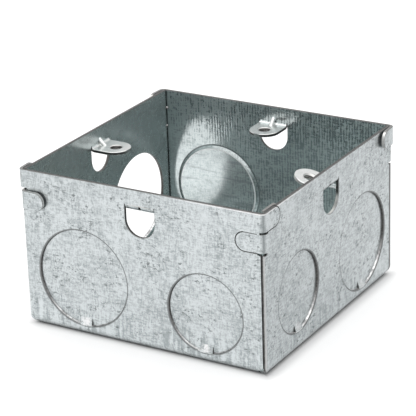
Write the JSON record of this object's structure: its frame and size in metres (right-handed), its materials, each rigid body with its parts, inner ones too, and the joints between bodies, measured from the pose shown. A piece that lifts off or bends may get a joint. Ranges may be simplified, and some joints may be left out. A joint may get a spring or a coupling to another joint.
{
  "type": "steel knockout wall box",
  "caption": "Open square wall box folded from galvanised sheet steel, with knockouts for cable entry, corner tabs, and inward lugs that take the screws of a switch or socket plate.",
  "frame": {"origin": "centre of the underside of the base", "axes": "+Z out of the open mouth, -Y towards the front wall, -X towards the wall with the open knockout"},
  "size_m": [0.0754, 0.0754, 0.0444],
  "materials": {
    "galvanised_steel": "hot-dip galvanised, mottled, semi-bright",
    "brass": "plain turned"
  },
  "bodies": {
    "root": {"box_shell": "galvanised_steel", "earth_screw": "brass"}
  },
  "joints": []
}
